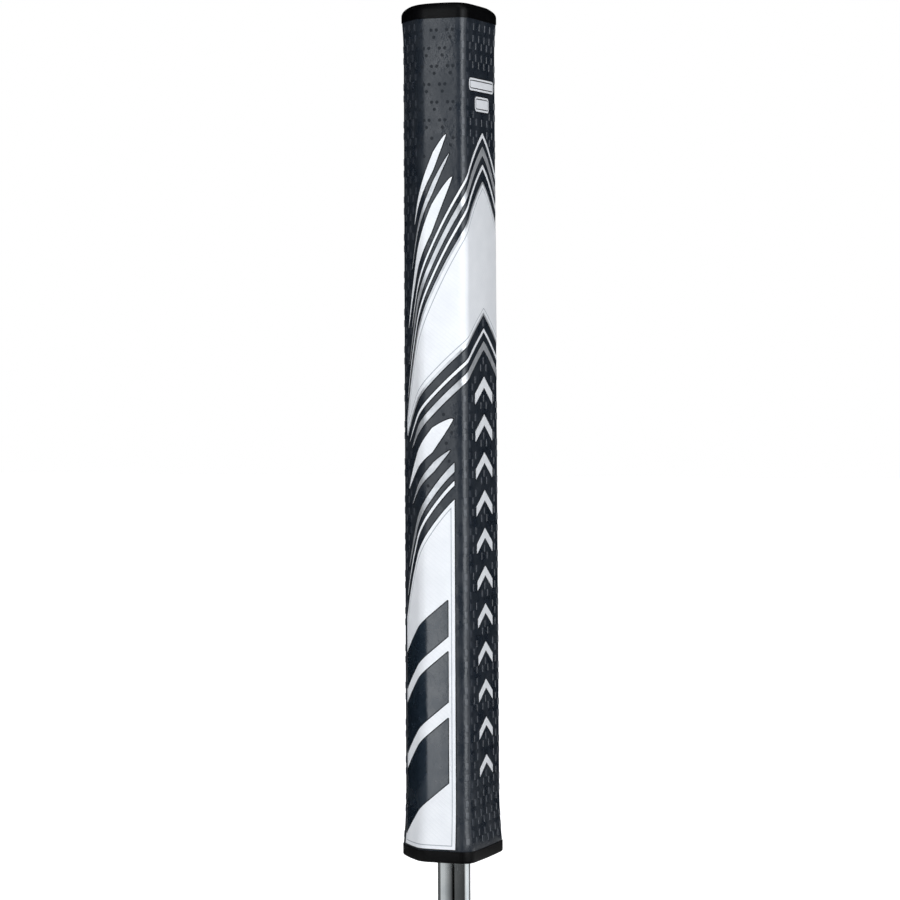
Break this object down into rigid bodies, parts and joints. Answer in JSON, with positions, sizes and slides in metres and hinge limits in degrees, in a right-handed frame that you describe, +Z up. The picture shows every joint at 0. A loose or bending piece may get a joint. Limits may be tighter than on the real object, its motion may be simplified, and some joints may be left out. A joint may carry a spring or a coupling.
{
  "type": "putter grip",
  "caption": "Five-sided soft putter grip with a flat thumb face, end caps and a screw-in plug, on the upper end of its shaft.",
  "frame": {"origin": "on the shaft's axis at its cut lower end", "axes": "+Z up the shaft towards the butt, -Y out of the wide flat front under the thumbs, +X to the right when that front is faced with the butt up"},
  "size_m": [0.0342, 0.0286, 0.2967],
  "materials": {
    "chromed_steel": "polished",
    "paper_tape": "matt",
    "eva_foam": "matt",
    "felt": "matt",
    "printed_polyurethane": "satin",
    "cap_rubber": "satin",
    "insert_aluminium": "satin",
    "plug_nylon": "satin",
    "seal_rubber": "satin"
  },
  "bodies": {
    "handle": {"shaft": "chromed_steel", "grip_tape": "paper_tape", "foam_core": "eva_foam", "skin_backing": "felt", "outer_skin": "printed_polyurethane", "mouth_cap": "cap_rubber", "butt_cap": "cap_rubber", "port_insert": "insert_aluminium"},
    "seal": {"plug_seal": "seal_rubber"},
    "plug": {"port_plug": "plug_nylon"}
  },
  "joints": [
    {"name": "plug_travel", "type": "slide", "parent": "handle", "child": "seal", "axis": [0, 0, 1], "range_m": [0, 0.009]},
    {"name": "plug_turn", "type": "hinge", "parent": "seal", "child": "plug", "pos_m": [0, 0, 0.29], "axis": [0, 0, 1], "range_deg": [0, 1620]}
  ],
  "couplings": [
    {"joint": "plug_turn", "follows": "plug_travel", "rad_per_m": 3141.6}
  ]
}
